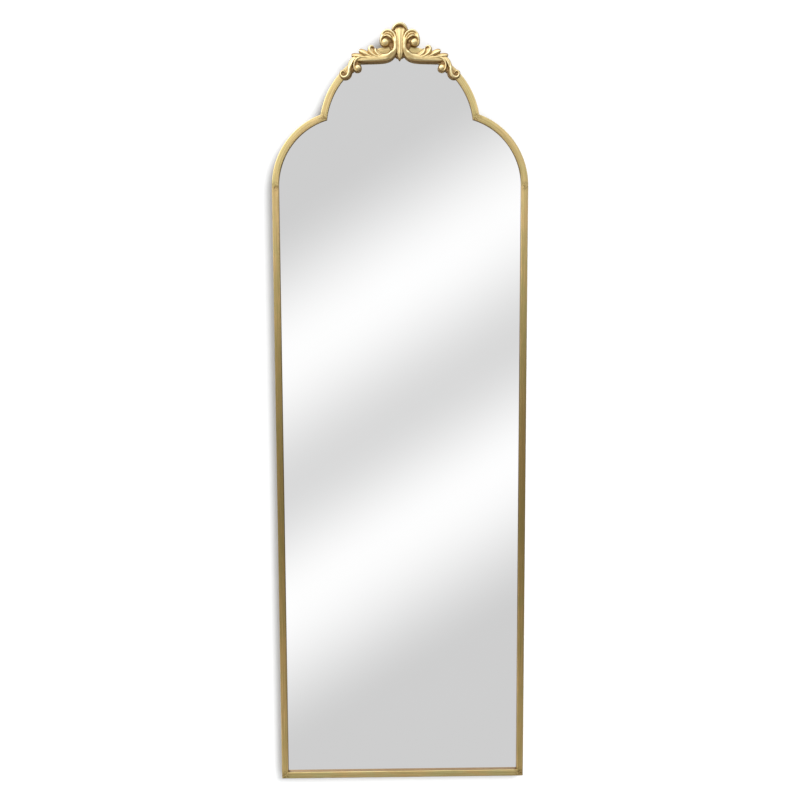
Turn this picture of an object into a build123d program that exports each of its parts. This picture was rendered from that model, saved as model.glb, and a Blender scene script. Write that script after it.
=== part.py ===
from build123d import *

import os
from math import asin, cos, degrees, hypot, pi, radians, sin, sqrt

# Full-length mirror with a stepped, arched head and a cast scroll crest. Millimetres.
# X runs across the mirror, Y from the viewer back into the wall, Z up.
# The origin is the middle of the bottom rail's underside, halfway through its depth.

# Outline, to the outer edge of the frame
frame_width = 560.0
spring_height = 1355.5
shoulder_radius = 163.5
arch_radius = 174.5
arch_rise = 124.5

# Rolled steel bar: a closed box in front, and a thin leg along its outer edge behind
face_width = 15.0
box_depth = 8.0
tube_wall = 1.2
leg_wall = 1.5
frame_depth = 20.0
edge_chamfer = 1.2

# Panel that lies in the rebate behind the box
glass_thickness = 4.0
film_thickness = 0.2
tape_thickness = 1.0
board_thickness = 5.0
edge_clearance = 1.5

# Foam strips between film and board
tape_width = 20.0
tape_inset = 80.0
tape_count = 3
tape_lower_gap = 120.0
tape_upper_gap = 85.5

# Rubber blocks that the glass and the board stand on
block_length = 60.0
block_inset = 110.0

# Bent steel tabs that hold the board in
tab_wall = 1.0
tab_width = 12.0
tab_reach = 14.0
tab_root = 5.0
stile_tab_count = 3
stile_tab_gap = 237.75
rail_tab_inset = 190.0
shoulder_tab_angle = 36.0
arch_tab_angles = (42.0, 90.0, 138.0)

# Strap hangers with a loose ring
hanger_inset = 90.0
hanger_rise = 44.5
strap_gauge = 1.0
strap_width = 16.0
strap_length = 39.0
strap_end_chamfer = 4.0
ring_wire_radius = 1.2
wire_side_count = 8
ring_running_clearance = 0.08
ring_side_clearance = 0.4
ring_arm = 14.0
ring_bow_steps = 6
ring_rest_clearance = 0.3
upper_hole_drop = 7.5
lower_hole_drop = 32.0

# Pan-head screws of the hangers
hanger_screw_radius = 1.75
hanger_screw_depth = 4.0
hanger_head_radius = 3.2
hanger_head_height = 1.8
screw_clearance = 0.05
strap_hole_clearance = 0.2
pilot_extra = 0.4

# Rubber pads on the board
bumper_height = 6.0
bumper_side = 15.0
bumper_inset = 45.0
bumper_drop = 65.5

# Crest casting, its bracket and its two screws
crest_bury = 1.0
bracket_width = 22.0
bracket_height = 30.0
bracket_thickness = 2.5
bracket_corner_chamfer = 4.0
crest_screw_radius = 2.0
crest_screw_depth = 8.0
crest_head_radius = 3.5
crest_head_height = 2.2
crest_screw_heights = (9.5, 23.5)
bracket_hole_clearance = 0.25

# Depths below the front face, and places that follow from the sizes above
front_y = -frame_depth / 2
glass_front = box_depth
film_front = glass_front + glass_thickness
tape_front = film_front + film_thickness
board_front = tape_front + tape_thickness
board_back = board_front + board_thickness
panel_inset = leg_wall + edge_clearance
half_width = frame_width / 2
shoulder_x = half_width - shoulder_radius
arch_centre_height = spring_height + arch_rise
crown = arch_centre_height + arch_radius
hanger_x = half_width - hanger_inset
hanger_height = spring_height + hanger_rise
board_back_y = front_y + board_back
strap_stack = 2 * strap_gauge
loop_bore = ring_wire_radius + ring_running_clearance
ring_axis_y = board_back_y + loop_bore + strap_gauge


def layer(depth):
    """The upright plane this far behind the frame's front face; its normal faces the viewer."""
    return Plane.XZ.offset(-(front_y + depth))


def cusp(inset):
    """Where the right shoulder and the arch cross, on an outline this far inside the edge."""
    across = -shoulder_x
    up = arch_centre_height - spring_height
    reach = hypot(across, up)
    shoulder = shoulder_radius - inset
    arch = arch_radius - inset
    along = (shoulder**2 - arch**2 + reach**2) / (2 * reach)
    aside = sqrt(shoulder**2 - along**2)
    x = shoulder_x + (along * across + aside * up) / reach
    z = spring_height + (along * up - aside * across) / reach
    return x, z


def bar_section(plane):
    """The rolled bar's section: local x runs inward from the outer edge, local y back from the face."""
    low = (Align.MIN, Align.MIN)
    with BuildSketch(plane) as section:
        Rectangle(face_width, box_depth, align=low)
        Rectangle(leg_wall, frame_depth, align=low)
        chamfer(section.vertices().group_by(Axis.Y)[0], edge_chamfer)
        with Locations((tube_wall, tube_wall)):
            Rectangle(face_width - 2 * tube_wall, box_depth - 2 * tube_wall, align=low, mode=Mode.SUBTRACT)
    return section.sketch


def tab_section(plane):
    """A retaining tab's section: flat on the leg, then folded in over the board's back."""
    low = (Align.MIN, Align.MIN)
    with BuildSketch(plane) as section:
        with Locations((leg_wall, board_back - tab_root)):
            Rectangle(tab_wall, tab_root + tab_wall, align=low)
        with Locations((leg_wall, board_back)):
            Rectangle(tab_reach, tab_wall, align=low)
    return section.sketch


def edge_plane(side, x, z):
    """A section plane on an upright outer edge: side is -1 on the left and 1 on the right."""
    return Plane(origin=(side * x, front_y, z), x_dir=(-side, 0, 0), z_dir=(0, 0, -side))


def turned_plane(centre_x, centre_z, radius, angle):
    """A section plane on a round outer edge, at this angle above the horizontal on the right."""
    a = radians(angle)
    origin = (centre_x + radius * cos(a), front_y, centre_z + radius * sin(a))
    return Plane(origin=origin, x_dir=(-cos(a), 0, -sin(a)), z_dir=(sin(a), 0, -cos(a)))


def panel_outline(depth):
    """The outline of the glass, the film and the board, inside the frame's leg all round."""
    lowest = (Align.CENTER, Align.MIN)
    with BuildSketch(layer(depth)) as outline:
        with Locations((0, panel_inset)):
            Rectangle(frame_width - 2 * panel_inset, spring_height - panel_inset, align=lowest)
        with Locations((0, spring_height)):
            Rectangle(2 * shoulder_x, shoulder_radius - panel_inset, align=lowest)
        with Locations((-shoulder_x, spring_height), (shoulder_x, spring_height)):
            Circle(shoulder_radius - panel_inset)
        with Locations((0, arch_centre_height)):
            Circle(arch_radius - panel_inset)
    return outline.sketch


notch_x, notch_z = cusp(0)
tip_x, tip_z = cusp(face_width)


def cusp_plane(side, above):
    """The weld between shoulder and arch: its normal points up to the arch, or down if above is -1."""
    run = notch_x - tip_x
    rise = notch_z - tip_z
    return Plane(origin=(side * tip_x, 0, tip_z), z_dir=(-side * above * rise, 0, above * run))


# Bottom rail, mitred into both stiles
with BuildPart() as bottom_rail:
    rail_plane = Plane(origin=(-half_width, front_y, 0), x_dir=(0, 0, 1), z_dir=(-1, 0, 0))
    extrude(bar_section(rail_plane), amount=-frame_width)
    for side in (-1, 1):
        split(bisect_by=Plane(origin=(side * half_width, 0, 0), z_dir=(-side, 0, -1)), keep=Keep.TOP)
bottom_rail.part.label = "bottom_rail"
stiles = {}
shoulders = {}
for name, side in (("left", -1), ("right", 1)):
    # Upright stile, mitred at the bottom and cut square at the spring line
    with BuildPart() as stile:
        extrude(bar_section(edge_plane(side, half_width, 0)), amount=-side * spring_height)
        split(bisect_by=Plane(origin=(side * half_width, 0, 0), z_dir=(side, 0, 1)), keep=Keep.TOP)
    stile.part.label = name + "_stile"
    stiles[name] = stile.part

    # Bent shoulder, from the spring line to the cusp
    with BuildPart() as shoulder:
        bend = Axis((side * shoulder_x, 0, spring_height), (0, -side, 0))
        revolve(bar_section(edge_plane(side, half_width, spring_height)), axis=bend, revolution_arc=90)
        split(bisect_by=cusp_plane(side, -1), keep=Keep.TOP)
    shoulder.part.label = name + "_shoulder"
    shoulders[name] = shoulder.part

# Top arch, from cusp to cusp
with BuildPart() as top_arch:
    bend = Axis((0, 0, arch_centre_height), (0, -1, 0))
    revolve(
        bar_section(turned_plane(0, arch_centre_height, arch_radius, 0)), axis=bend, revolution_arc=180
    )
    for side in (-1, 1):
        split(bisect_by=cusp_plane(side, 1), keep=Keep.TOP)
top_arch.part.label = "top_arch"

# Mirror glass, its film and the board, all to one outline
with BuildPart() as mirror_glass:
    extrude(panel_outline(glass_front), amount=-glass_thickness)
mirror_glass.part.label = "mirror_glass"

with BuildPart() as safety_film:
    extrude(panel_outline(film_front), amount=-film_thickness)
safety_film.part.label = "safety_film"

with BuildPart() as mounting_tape:
    tape_span = 2 * (half_width - tape_inset) - tape_width
    tape_length = spring_height - tape_lower_gap - tape_upper_gap
    with BuildSketch(layer(tape_front)):
        with Locations((0, tape_lower_gap + tape_length / 2)):
            with GridLocations(tape_span / (tape_count - 1), 1, tape_count, 1):
                Rectangle(tape_width, tape_length)
    extrude(amount=-tape_thickness)
mounting_tape.part.label = "mounting_tape"

hanger_xs = (-hanger_x, hanger_x)
hanger_holes = [(x, hanger_height - drop) for x in hanger_xs for drop in (upper_hole_drop, lower_hole_drop)]
with BuildPart() as back_board:
    extrude(panel_outline(board_front), amount=-board_thickness)
    with BuildSketch(layer(board_back)):
        with Locations(*hanger_holes):
            Circle(hanger_screw_radius + screw_clearance)
    extrude(amount=hanger_screw_depth + pilot_extra, mode=Mode.SUBTRACT)
back_board.part.label = "back_board"

with BuildPart() as setting_blocks:
    block_x = half_width - block_inset
    with BuildSketch(layer(glass_front)):
        with Locations((-block_x, leg_wall), (block_x, leg_wall)):
            Rectangle(block_length, edge_clearance, align=(Align.CENTER, Align.MIN))
    extrude(amount=-(board_back - glass_front))
setting_blocks.part.label = "setting_blocks"

# Retaining tabs along the stiles, the bottom rail, the shoulders and the arch
with BuildPart() as retaining_tabs:
    tab_pitch = (spring_height - 2 * stile_tab_gap) / (stile_tab_count - 1)
    for side in (-1, 1):
        for step in range(stile_tab_count):
            height = stile_tab_gap + step * tab_pitch
            extrude(tab_section(edge_plane(side, half_width, height)), amount=tab_width / 2, both=True)
        rail_x = side * (half_width - rail_tab_inset)
        rail_plane = Plane(origin=(rail_x, front_y, 0), x_dir=(0, 0, 1), z_dir=(-1, 0, 0))
        extrude(tab_section(rail_plane), amount=tab_width / 2, both=True)
        turn = degrees(tab_width / (shoulder_radius - leg_wall))
        start = shoulder_tab_angle - turn / 2 if side > 0 else 180 - shoulder_tab_angle - turn / 2
        plane = turned_plane(side * shoulder_x, spring_height, shoulder_radius, start)
        bend = Axis((side * shoulder_x, 0, spring_height), (0, -1, 0))
        revolve(tab_section(plane), axis=bend, revolution_arc=turn)
    for angle in arch_tab_angles:
        turn = degrees(tab_width / (arch_radius - leg_wall))
        plane = turned_plane(0, arch_centre_height, arch_radius, angle - turn / 2)
        bend = Axis((0, 0, arch_centre_height), (0, -1, 0))
        revolve(tab_section(plane), axis=bend, revolution_arc=turn)
retaining_tabs.part.label = "retaining_tabs"

# Strap hangers: a strip folded round the ring's bar, both leaves screwed to the board
ring_half = strap_width / 2 + ring_side_clearance + ring_wire_radius
ring_reach = ring_arm + ring_half
seat_height = strap_stack + ring_rest_clearance + ring_wire_radius
ring_tilt = degrees(asin((seat_height - loop_bore - strap_gauge) / ring_reach))
straps = {}
rings = {}
for name, x in zip(("left", "right"), hanger_xs):
    with BuildPart() as strap:
        with BuildSketch(Plane.YZ.offset(x - strap_width / 2)):
            with Locations((board_back_y, hanger_height - strap_length)):
                Rectangle(strap_stack, strap_length, align=(Align.MIN, Align.MIN))
            with Locations((ring_axis_y, hanger_height)):
                Circle(loop_bore + strap_gauge)
                Circle(loop_bore, mode=Mode.SUBTRACT)
        extrude(amount=strap_width)
        chamfer(strap.edges().filter_by(Axis.Y).group_by(Axis.Z)[0], strap_end_chamfer)
        with BuildSketch(Plane.XZ.offset(-board_back_y)):
            with Locations((x, hanger_height - upper_hole_drop), (x, hanger_height - lower_hole_drop)):
                Circle(hanger_screw_radius + strap_hole_clearance)
        extrude(amount=-strap_stack, mode=Mode.SUBTRACT)
    strap.part.label = name + "_hanger_strap"
    straps[name] = strap.part

    # The ring hangs down over its strap and rests on it
    lean = radians(ring_tilt)
    ring_plane = Plane(
        origin=(x, ring_axis_y, hanger_height), x_dir=(1, 0, 0), z_dir=(0, cos(lean), sin(lean))
    )
    with BuildPart() as ring:
        bow = [pi * step / ring_bow_steps for step in range(1, ring_bow_steps)]
        with BuildLine(ring_plane):
            Polyline(
                (0, 0),
                (ring_half, 0),
                (ring_half, ring_arm),
                *[(ring_half * cos(turn), ring_arm + ring_half * sin(turn)) for turn in bow],
                (-ring_half, ring_arm),
                (-ring_half, 0),
                (0, 0),
            )
        with BuildSketch(Plane(origin=ring_plane.origin, z_dir=(1, 0, 0))):
            RegularPolygon(ring_wire_radius, wire_side_count)
        sweep(transition=Transition.RIGHT)
    ring.part.label = name + "_hanger_ring"
    rings[name] = ring.part


def pan_screw(seat, head_radius, head_height, shank_radius, shank_length):
    """Add a pan-head screw; its seat is the plane under its head, facing out of the hole."""
    with BuildSketch(seat) as head:
        Circle(head_radius)
    extrude(head.sketch, amount=head_height)
    with BuildSketch(seat) as shank:
        Circle(shank_radius)
    extrude(shank.sketch, amount=-shank_length)


with BuildPart() as hanger_screws:
    shank = strap_stack + hanger_screw_depth
    for x, z in hanger_holes:
        seat = Plane(origin=(x, board_back_y + strap_stack, z), z_dir=(0, 1, 0))
        pan_screw(seat, hanger_head_radius, hanger_head_height, hanger_screw_radius, shank)
hanger_screws.part.label = "hanger_screws"

# Square rubber pads that keep the frame off the wall
bumper_x = half_width - bumper_inset
bumper_top = spring_height - bumper_drop
with BuildPart() as wall_bumpers:
    with BuildSketch(layer(board_back)):
        with Locations(*[(x, z) for x in (-bumper_x, bumper_x) for z in (bumper_inset, bumper_top)]):
            Rectangle(bumper_side, bumper_side)
    extrude(amount=-bumper_height)
wall_bumpers.part.label = "wall_bumpers"

# Bracket plate welded on the arch's crown, behind the crest
with BuildPart() as crest_bracket:
    with BuildSketch(layer(0)) as plate:
        with Locations((0, arch_centre_height)):
            Rectangle(bracket_width, arch_radius + bracket_height, align=(Align.CENTER, Align.MIN))
        chamfer(plate.vertices().group_by(Axis.Y)[-1], bracket_corner_chamfer)
        with Locations((0, arch_centre_height)):
            Circle(arch_radius, mode=Mode.SUBTRACT)
        with Locations(*[(0, crown + height) for height in crest_screw_heights]):
            Circle(crest_screw_radius + bracket_hole_clearance, mode=Mode.SUBTRACT)
    extrude(amount=-bracket_thickness)
crest_bracket.part.label = "crest_bracket"

with BuildPart() as crest_screws:
    shank = bracket_thickness + crest_screw_depth
    for height in crest_screw_heights:
        seat = Plane(origin=(0, front_y + bracket_thickness, crown + height), z_dir=(0, 1, 0))
        pan_screw(seat, crest_head_radius, crest_head_height, crest_screw_radius, shank)
crest_screws.part.label = "crest_screws"

# Sections of the carving, as shares of a stroke's half width and height. Each runs from the
# outside of the stroke's turn to its inside. The first two have as many points as each other,
# so that the scroll can pass from stem to body.
stem_section = ((-1, 0.35), (-0.2, 0.6), (0.7, 1), (1, 0.7))
body_section = ((-1, 0.4), (-0.55, 0.98), (0.2, 0.85), (1, 0.12))
curl_section = ((-1, 0.45), (-0.4, 0.95), (0.4, 0.95), (1, 0.45))
leaf_section = ((-1, 0.45), (0, 1), (1, 0.45))

# Strokes of the crest's right half, from root to tip, as (x, height over the crown, half width,
# relief). The scroll runs in along the stem, up beside the palmette and over into its curl.
scroll = (
    (90, -33, 6.5, 11, stem_section),
    (42, -31, 8.5, 13, stem_section),
    (27, -26, 9.5, 14, body_section),
    (16.5, -14, 8.3, 15, body_section),
    (13.5, 0.5, 7.5, 16, body_section),
    (15.5, 14, 8.2, 16, body_section),
    (25, 23.5, 9.5, 15, body_section),
    (35, 20, 6.5, 14, body_section),
    (40, 11, 3.6, 12, body_section),
    (37.5, 3, 2.6, 10, body_section),
)
lower_curl = ((82, -31, 5, 11), (92, -32, 4.5, 12), (98.5, -40, 3.8, 12), (96, -51.5, 2.6, 9))
outer_curl = (
    (84, -28.5, 3.5, 10),
    (97, -30.5, 4.5, 12),
    (105, -39, 4.8, 13),
    (110, -56, 5.4, 12),
    (117, -66, 4.8, 10),
    (124, -68, 3.2, 8),
)
leaves = (
    ((38, -25, 3.5, 11), (50, -17, 4.4, 12), (52, -4, 1.2, 8)),
    ((48, -25, 3.5, 11), (61.5, -16, 5, 12), (62, -1, 1.4, 8)),
    ((58, -26, 3.5, 10), (73, -17, 4.6, 11), (88, -8.5, 0.8, 6)),
    ((70, -27, 3.5, 10), (88, -22.5, 4.4, 10), (104.5, -20.5, 0.8, 6)),
)
palmette_rim = (
    (-16, 31, 3, 12),
    (-13, 39.5, 3.2, 14),
    (0, 45, 3.2, 15),
    (13, 39.5, 3.2, 14),
    (16, 31, 3, 12),
)
palmette_stem = ((0, 38, 12, 9), (0, 27, 11, 13), (0, 0, 7, 16), (0, -24, 7, 13), (0, -30.5, 0.8, 8))

# Knobs inside the curls, as (x, height over the crown, radius, relief)
knobs = ((32, 5.5, 8, 13.5), (91.5, -49, 8.2, 12.2), (121.5, -61.3, 9.4, 12.4))
knob_section = ((1, 0), (1, 0.45), (0.85, 0.8), (0.4, 1))
knob_side_count = 8
web_radius = 14.0
web_height = 31.0
web_relief = 6.0


def knob(x, z, radius, relief):
    """Loft a rounded knob that stands on the crest's back plane."""
    sections = []
    for across, up in knob_section:
        with BuildSketch(layer(-relief * up)) as station:
            with Locations((x, crown + z)):
                RegularPolygon(radius * across, knob_side_count)
        sections.append(station.sketch)
    loft(sections, ruled=True)


def stroke(route, section=None):
    """Loft a tapering stroke of the carving along its route, its underside buried behind the back."""
    sections = []
    last = len(route) - 1
    for step, (x, z, half, relief, *own) in enumerate(route):
        before = route[max(step - 1, 0)]
        after = route[min(step + 1, last)]
        run = after[0] - before[0]
        rise = after[1] - before[1]
        shape = own[0] if own else section
        plane = Plane(origin=(x, front_y, crown + z), x_dir=(rise, 0, -run), z_dir=(-run, 0, -rise))
        with BuildSketch(plane) as station:
            with BuildLine():
                carved = [(half * u, relief * v) for u, v in shape]
                Polyline((-half, -crest_bury), *carved, (half, -crest_bury), close=True)
            make_face()
        sections.append(station.sketch)
    loft(sections, ruled=True)


with BuildPart() as crest_casting:
    stroke(scroll)
    stroke(lower_curl, leaf_section)
    stroke(outer_curl, leaf_section)
    for leaf in leaves:
        stroke(leaf, leaf_section)
    for place in knobs:
        knob(*place)
    mirror(about=Plane.YZ)
    with BuildSketch(layer(0)):
        with Locations((0, crown + web_height)):
            Circle(web_radius)
    extrude(amount=web_relief)
    stroke(palmette_rim, curl_section)
    stroke(palmette_stem, leaf_section)
    split(bisect_by=layer(0), keep=Keep.TOP)
    with BuildSketch(layer(0)):
        with Locations(*[(0, crown + height) for height in crest_screw_heights]):
            Circle(crest_screw_radius + screw_clearance)
    extrude(amount=crest_screw_depth + pilot_extra, mode=Mode.SUBTRACT)
crest_casting.part.label = "crest_casting"

os.makedirs("parts", exist_ok=True)
pieces = [
    bottom_rail.part,
    *stiles.values(),
    *shoulders.values(),
    top_arch.part,
    mirror_glass.part,
    safety_film.part,
    mounting_tape.part,
    back_board.part,
    setting_blocks.part,
    retaining_tabs.part,
    *straps.values(),
    *rings.values(),
    hanger_screws.part,
    wall_bumpers.part,
    crest_bracket.part,
    crest_screws.part,
    crest_casting.part,
]
for piece in pieces:
    export_step(piece, f"parts/{piece.label}.step")
    print(piece.label, "written")
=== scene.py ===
from math import atan2, cos, hypot, pi, radians, sin, sqrt

import bmesh
import bpy
import numpy as np
from mathutils import Matrix, Vector


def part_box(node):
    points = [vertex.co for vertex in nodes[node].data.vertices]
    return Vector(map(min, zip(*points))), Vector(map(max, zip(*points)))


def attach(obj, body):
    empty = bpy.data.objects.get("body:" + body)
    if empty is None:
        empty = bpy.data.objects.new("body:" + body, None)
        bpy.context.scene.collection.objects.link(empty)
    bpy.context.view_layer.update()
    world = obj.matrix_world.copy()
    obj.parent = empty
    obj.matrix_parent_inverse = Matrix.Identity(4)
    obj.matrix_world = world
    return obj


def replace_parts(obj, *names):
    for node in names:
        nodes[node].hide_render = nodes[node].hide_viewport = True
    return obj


# Looks of the arched full-length mirror. Metres; X across, Y into the wall, Z up.
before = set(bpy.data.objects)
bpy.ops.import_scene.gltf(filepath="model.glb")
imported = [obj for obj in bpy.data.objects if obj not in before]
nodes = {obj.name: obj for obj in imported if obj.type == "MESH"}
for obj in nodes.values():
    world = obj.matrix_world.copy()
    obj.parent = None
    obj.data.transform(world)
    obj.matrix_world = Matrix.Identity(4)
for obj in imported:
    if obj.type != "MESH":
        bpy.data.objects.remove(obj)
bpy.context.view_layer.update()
scene = bpy.context.scene
MM = 0.001

# Sizes the CAD frame is built to: the outline, then the bar's section, then the hangers
HALF_WIDTH = 0.280
SPRING = 1.3555
SHOULDER_R = 0.1635
ARCH_R = 0.1745
ARCH_Z = 1.480
SHOULDER_X = HALF_WIDTH - SHOULDER_R
CROWN = ARCH_Z + ARCH_R
FACE = 0.015
BOX_DEPTH = 0.008
DEPTH = 0.020
LEG = 0.0015
FRONT = -0.010
BRACKET_BACK = FRONT + 2.5 * MM
STRAP_BACK = 0.0102
HINGE_Y = 0.01048
HINGE_Z = 1.400
HANGER_X = 0.190
RING_HALF, RING_ARM, RING_CORNER, RING_WIRE = 9.6 * MM, 14 * MM, 1.6 * MM, 1.2 * MM
RING_TILT = radians(2.96)
# Radius and height of the pan heads. Hanger screws stand at (x, millimetres below the hinge), and
# crest screws at millimetres above the crown.
HANGER_HEAD = 3.2 * MM, 1.8 * MM
CREST_HEAD = 3.5 * MM, 2.2 * MM
HANGER_SCREWS = ((-HANGER_X, 7.5), (-HANGER_X, 32), (HANGER_X, 7.5), (HANGER_X, 32))
CREST_SCREWS = (9.5, 23.5)

# Weld places on the right half (cusp, lower corner, spring line), as (x, z, reach of the heat mark)
WELD_PLACES = ((0.1650, 1.5035, 0.016), (0.2725, 0.0075, 0.017), (0.2725, SPRING, 0.013))

# The stage
WALL_Y = 0.0142
FLOOR_Z = -0.3
STAGE_HALF = 6.0
WALL_TOP = 5.0
# A paint is a colour and the strength of its own light
WALL_PAINT = (1.05, 1.05, 1.05), 0.02
FLOOR_PAINT = (0.82, 0.82, 0.81), 0.2
# The sun: where it shines to, its strength, and its width in degrees
KEY_TOWARDS = (-0.74, 1.0, -0.9)
KEY_STRENGTH = 2.87
KEY_ANGLE = 40
# The camera, fitted to the photograph: its place, its axes, its lens and its sensor's width
CAMERA_AT = (-0.05593, -2.77626, 1.25175)
CAMERA_RIGHT = (0.9998, -0.01981, -0.0041)
CAMERA_UP = (0.00667, 0.1313, 0.99132)
LENS = 56.25
SENSOR = 36.0


# ---------------------------------------------------------------- node helpers


class Tree:
    """Short calls for building a node tree."""

    def __init__(self, owner):
        owner.use_nodes = True
        self.tree = owner.node_tree
        self.tree.nodes.clear()

    def node(self, kind, inputs=(), **settings):
        made = self.tree.nodes.new(kind)
        for name, value in settings.items():
            setattr(made, name, value)
        for key, value in dict(inputs).items():
            self.put(made.inputs[key], value)
        return made

    def put(self, socket, value):
        if isinstance(value, bpy.types.NodeSocket):
            self.tree.links.new(value, socket)
        elif isinstance(value, bpy.types.Node):
            self.tree.links.new(value.outputs[0], socket)
        else:
            socket.default_value = value

    def math(self, operation, a, b=0.0, clamp=False):
        return self.node("ShaderNodeMath", {0: a, 1: b}, operation=operation, use_clamp=clamp)

    def spread(self, value, low, high, to_low=0.0, to_high=1.0):
        ends = {"Value": value, 1: low, 2: high, 3: to_low, 4: to_high}
        return self.node("ShaderNodeMapRange", ends)

    def ramp(self, value, stops, mode="LINEAR"):
        made = self.node("ShaderNodeValToRGB", {0: value})
        made.color_ramp.interpolation = mode
        elements = made.color_ramp.elements
        while len(elements) < len(stops):
            elements.new(0.5)
        for element, (place, colour) in zip(elements, stops):
            element.position = place
            element.color = (colour,) * 3 + (1,) if isinstance(colour, float) else (*colour, 1)
        return made

    def mix(self, share, a, b, blend="MIX"):
        made = self.node("ShaderNodeMix", data_type="RGBA", blend_type=blend)
        for key, value in ((0, share), (6, a), (7, b)):
            self.put(made.inputs[key], (*value, 1) if isinstance(value, tuple) and len(value) == 3 else value)
        return made.outputs[2]

    def here(self):
        """The place on the piece, in metres."""
        return self.node("ShaderNodeTexCoord").outputs["Object"]

    def noise(self, coords, scale, detail=3.0, roughness=0.5, stretch=None):
        if stretch:
            coords = self.node("ShaderNodeMapping", {"Vector": coords, "Scale": stretch})
        ends = {"Vector": coords, "Scale": scale, "Detail": detail, "Roughness": roughness}
        return self.node("ShaderNodeTexNoise", ends)


def material(name, slot):
    made = bpy.data.materials.new(name)
    made["slot"] = slot
    return made, Tree(made)


def finish_material(t, **inputs):
    """The Principled shader and the output, with inputs given by their socket names."""
    bump = inputs.pop("bump", None)
    shader = t.node("ShaderNodeBsdfPrincipled")
    for key, value in inputs.items():
        t.put(shader.inputs[key.replace("_", " ")], (*value, 1) if isinstance(value, tuple) else value)
    if bump:
        height, strength, distance = bump
        made = t.node("ShaderNodeBump", {"Height": height, "Strength": strength, "Distance": distance})
        t.put(shader.inputs["Normal"], made)
    t.node("ShaderNodeOutputMaterial", {"Surface": shader})


# ------------------------------------------------------------------- materials


def brushed_gold(name, shade_span, cool):
    """Antique gold lacquer on steel, brushed along the bar: U runs along it and V around it.
    The second argument is the span of V, on the inner wall, that is darkened brown as painted shade where the bar
    meets the glass, and cool is the lacquer's cooler tone."""
    made, t = material(name, "frame_gold")
    uv = t.node("ShaderNodeUVMap", uv_map="along").outputs[0]
    fine = t.noise(uv, 1.0, 2.0, 0.6, (26, 3800, 1))
    broad = t.noise(uv, 1.0, 3.0, 0.55, (8, 520, 1))
    tone = t.noise(uv, 1.0, 4.0, 0.65, (16, 60, 1))
    drift = t.noise(uv, 1.0, 2.0, 0.5, (3.3, 20, 1))
    streak = t.math("ADD", t.math("MULTIPLY", fine, 0.42), t.math("MULTIPLY", broad, 0.58))
    warm = t.mix(t.spread(tone, 0.38, 0.62), cool, (0.80, 0.58, 0.27))
    dull = t.mix(t.spread(drift, 0.35, 0.65), (0.43, 0.37, 0.145), (0.50, 0.34, 0.15))
    colour = t.mix(t.spread(streak, 0.38, 0.58), dull, warm)

    # Heat has browned and mottled the lacquer round each weld
    here = t.here()
    x, y, z = t.node("ShaderNodeSeparateXYZ", {0: here}).outputs
    folded = t.node("ShaderNodeCombineXYZ", {0: t.math("ABSOLUTE", x), 2: z})
    mottle = t.noise(here, 330, 3.0, 0.6)
    heat = None
    for wx, wz, reach in WELD_PLACES:
        away = t.node("ShaderNodeVectorMath", {0: folded, 1: (wx, 0, wz)}, operation="DISTANCE").outputs["Value"]
        near = t.spread(away, reach, reach * 0.2)
        heat = near if heat is None else t.math("MAXIMUM", heat, near)
    scorched = t.math("MULTIPLY", heat, t.spread(mottle, 0.42, 0.62), clamp=True)
    colour = t.mix(t.math("MULTIPLY", scorched, 0.9), colour, (0.24, 0.155, 0.06))
    # Painted shade: the inner wall goes dark brown over the span where it meets the glass, where shade falls in the
    # rebate
    v = t.node("ShaderNodeSeparateXYZ", {0: uv}).outputs[1]
    middle, half = (shade_span[0] + shade_span[1]) / 2, (shade_span[1] - shade_span[0]) / 2
    from_line = t.math("ABSOLUTE", t.math("SUBTRACT", v, middle))
    painted_shade = t.spread(from_line, half * 1.15, half * 0.7, 0.0, 0.92)
    colour = t.mix(painted_shade, colour, (0.19, 0.105, 0.04))
    rough = t.math("ADD", t.spread(streak, 0.35, 0.65, 0.40, 0.27), t.math("MULTIPLY", scorched, 0.15))
    tangent = t.node("ShaderNodeTangent", direction_type="UV_MAP", uv_map="along")
    finish_material(
        t, Base_Color=colour, Metallic=1.0, Roughness=rough, Anisotropic=0.75, Anisotropic_Rotation=0.25,
        Tangent=tangent, bump=(streak, 0.22, 0.00012),
    )
    return made


def cast_gold():
    """Brighter gold on the cast crest: dark wax left in the hollows, ridges rubbed bright."""
    made, t = material("cast_gold", "crest_gold")
    here = t.here()
    hollow = t.node("ShaderNodeAttribute", attribute_name="hollow").outputs["Fac"]
    mottle = t.noise(here, 160, 5.0, 0.6)
    grain = t.noise(here, 1500, 3.0, 0.6)
    worn = t.math("ADD", hollow, t.math("MULTIPLY", t.math("SUBTRACT", mottle, 0.5), 0.35))
    gold = t.mix(t.spread(mottle, 0.35, 0.65), (0.68, 0.52, 0.25), (0.80, 0.63, 0.31))
    colour = t.mix(t.spread(worn, 0.54, 0.84), gold, (0.34, 0.21, 0.09))
    colour = t.mix(t.spread(worn, 0.40, 0.12), colour, (0.90, 0.78, 0.46))
    rough = t.spread(worn, 0.2, 0.85, 0.42, 0.58)
    finish_material(t, Base_Color=colour, Metallic=1.0, Roughness=rough, bump=(grain, 0.15, 0.0001))
    return made


def weld_gold():
    """Lacquered weld metal: lumpier and browner than the bar."""
    made, t = material("weld_gold", "frame_gold")
    here = t.here()
    lump = t.noise(here, 700, 4.0, 0.6)
    tone = t.noise(here, 180, 3.0, 0.6)
    colour = t.mix(t.spread(tone, 0.35, 0.65), (0.34, 0.24, 0.105), (0.62, 0.47, 0.23))
    finish_material(t, Base_Color=colour, Metallic=1.0, Roughness=0.45, bump=(lump, 0.5, 0.0003))
    return made


def mirror_silver():
    """Silvered glass: a plain mirror, its tone off by a hair from place to place."""
    made, t = material("mirror_silver", "mirror_glass")
    here = t.here()
    haze = t.noise(here, 3.0, 2.0, 0.5)
    colour = t.mix(t.spread(haze, 0.3, 0.7), (0.985, 0.985, 0.985), (0.995, 0.996, 0.998))
    finish_material(t, Base_Color=colour, Metallic=1.0, Roughness=0.0)
    return made


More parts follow.
